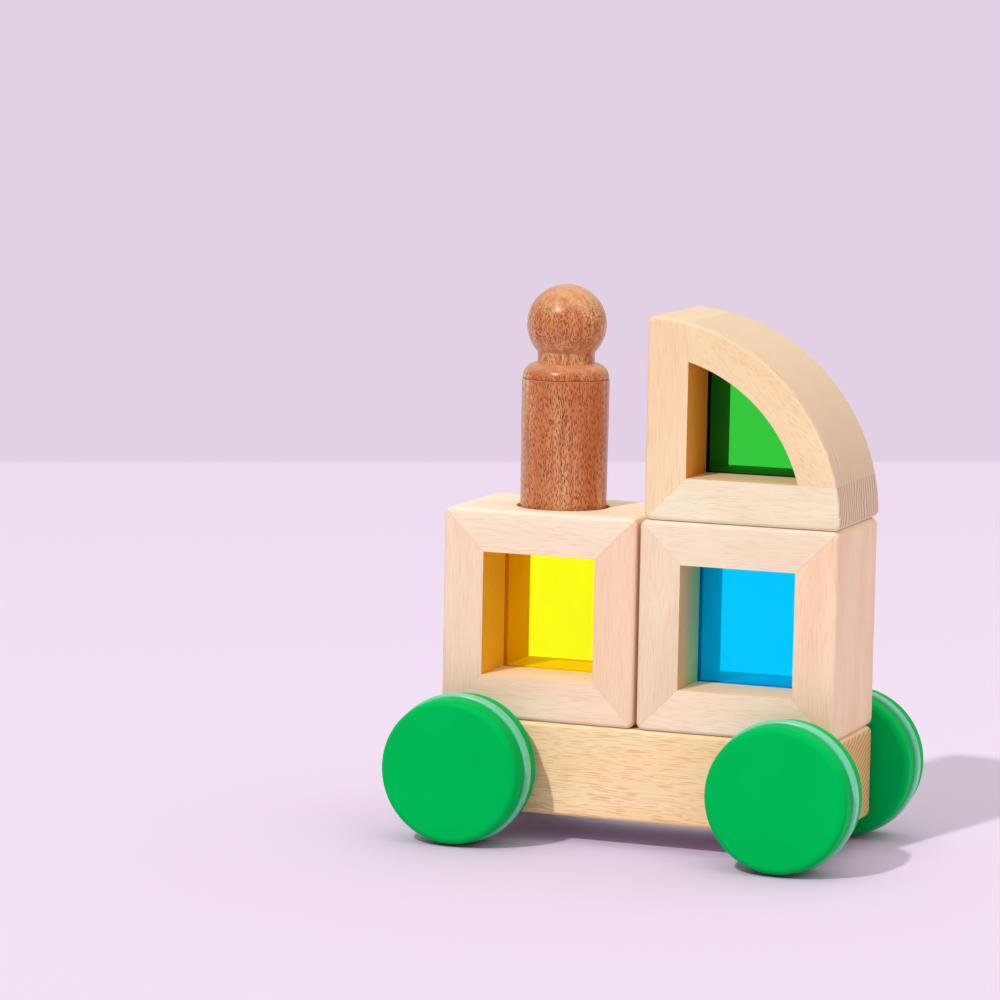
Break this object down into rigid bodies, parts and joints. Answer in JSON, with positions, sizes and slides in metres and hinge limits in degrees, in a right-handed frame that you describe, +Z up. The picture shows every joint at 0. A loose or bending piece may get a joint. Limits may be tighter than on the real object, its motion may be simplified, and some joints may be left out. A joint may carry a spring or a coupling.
{
  "type": "wooden block car",
  "caption": "Wooden toy car of stacked window blocks with a quarter-arch cab and a peg driver in a socket, rolling on painted wheels with elastic tyres.",
  "frame": {"origin": "On the floor under the middle of the car", "axes": "+X to the front of the car, +Y to its left side, +Z up"},
  "size_m": [0.144, 0.082, 0.163],
  "materials": {
    "chassis_beech": "oiled beech bar with end grain",
    "beech": "sanded pale beech",
    "arch_beech": "sanded yellower beech",
    "walnut": "oiled open-pored walnut",
    "green_paint": "satin green paint on turned wood",
    "clear_elastic": "clear milky elastomer",
    "yellow_acrylic": "transparent yellow acrylic",
    "blue_acrylic": "transparent blue acrylic",
    "green_acrylic": "transparent green acrylic"
  },
  "bodies": {
    "chassis": {"chassis": "chassis_beech"},
    "front_wheelset": {"front_axle": "beech", "front_left_wheel": "green_paint", "front_right_wheel": "green_paint", "front_left_tyre": "clear_elastic", "front_right_tyre": "clear_elastic"},
    "rear_wheelset": {"rear_axle": "beech", "rear_left_wheel": "green_paint", "rear_right_wheel": "green_paint", "rear_left_tyre": "clear_elastic", "rear_right_tyre": "clear_elastic"},
    "rear_block": {"rear_block_top_rail": "beech", "rear_block_bottom_rail": "beech", "rear_block_rear_stile": "beech", "rear_block_front_stile": "beech", "rear_block_window": "yellow_acrylic"},
    "front_block": {"front_block_top_rail": "beech", "front_block_bottom_rail": "beech", "front_block_rear_stile": "beech", "front_block_front_stile": "beech", "front_block_window": "blue_acrylic"},
    "arch_block": {"arch_block_stile": "beech", "arch_block_sill": "beech", "arch_block_arch": "arch_beech", "arch_block_window": "green_acrylic"},
    "driver": {"peg_driver": "walnut"}
  },
  "joints": [
    {"name": "front_axle_spin", "type": "hinge", "parent": "chassis", "child": "front_wheelset", "pos_m": [0.0498, 0, 0.02215], "axis": [0, 1, 0], "continuous": true},
    {"name": "rear_axle_spin", "type": "hinge", "parent": "chassis", "child": "rear_wheelset", "pos_m": [-0.0498, 0, 0.02215], "axis": [0, 1, 0], "continuous": true},
    {"name": "rear_block_lift", "type": "slide", "parent": "chassis", "child": "rear_block", "axis": [0, 0, 1], "range_m": [0, 0.06]},
    {"name": "front_block_lift", "type": "slide", "parent": "chassis", "child": "front_block", "axis": [0, 0, 1], "range_m": [0, 0.06]},
    {"name": "arch_block_lift", "type": "slide", "parent": "front_block", "child": "arch_block", "axis": [0, 0, 1], "range_m": [0, 0.06]},
    {"name": "driver_lift", "type": "slide", "parent": "rear_block", "child": "driver", "axis": [0, 0, 1], "range_m": [0, 0.06]}
  ]
}
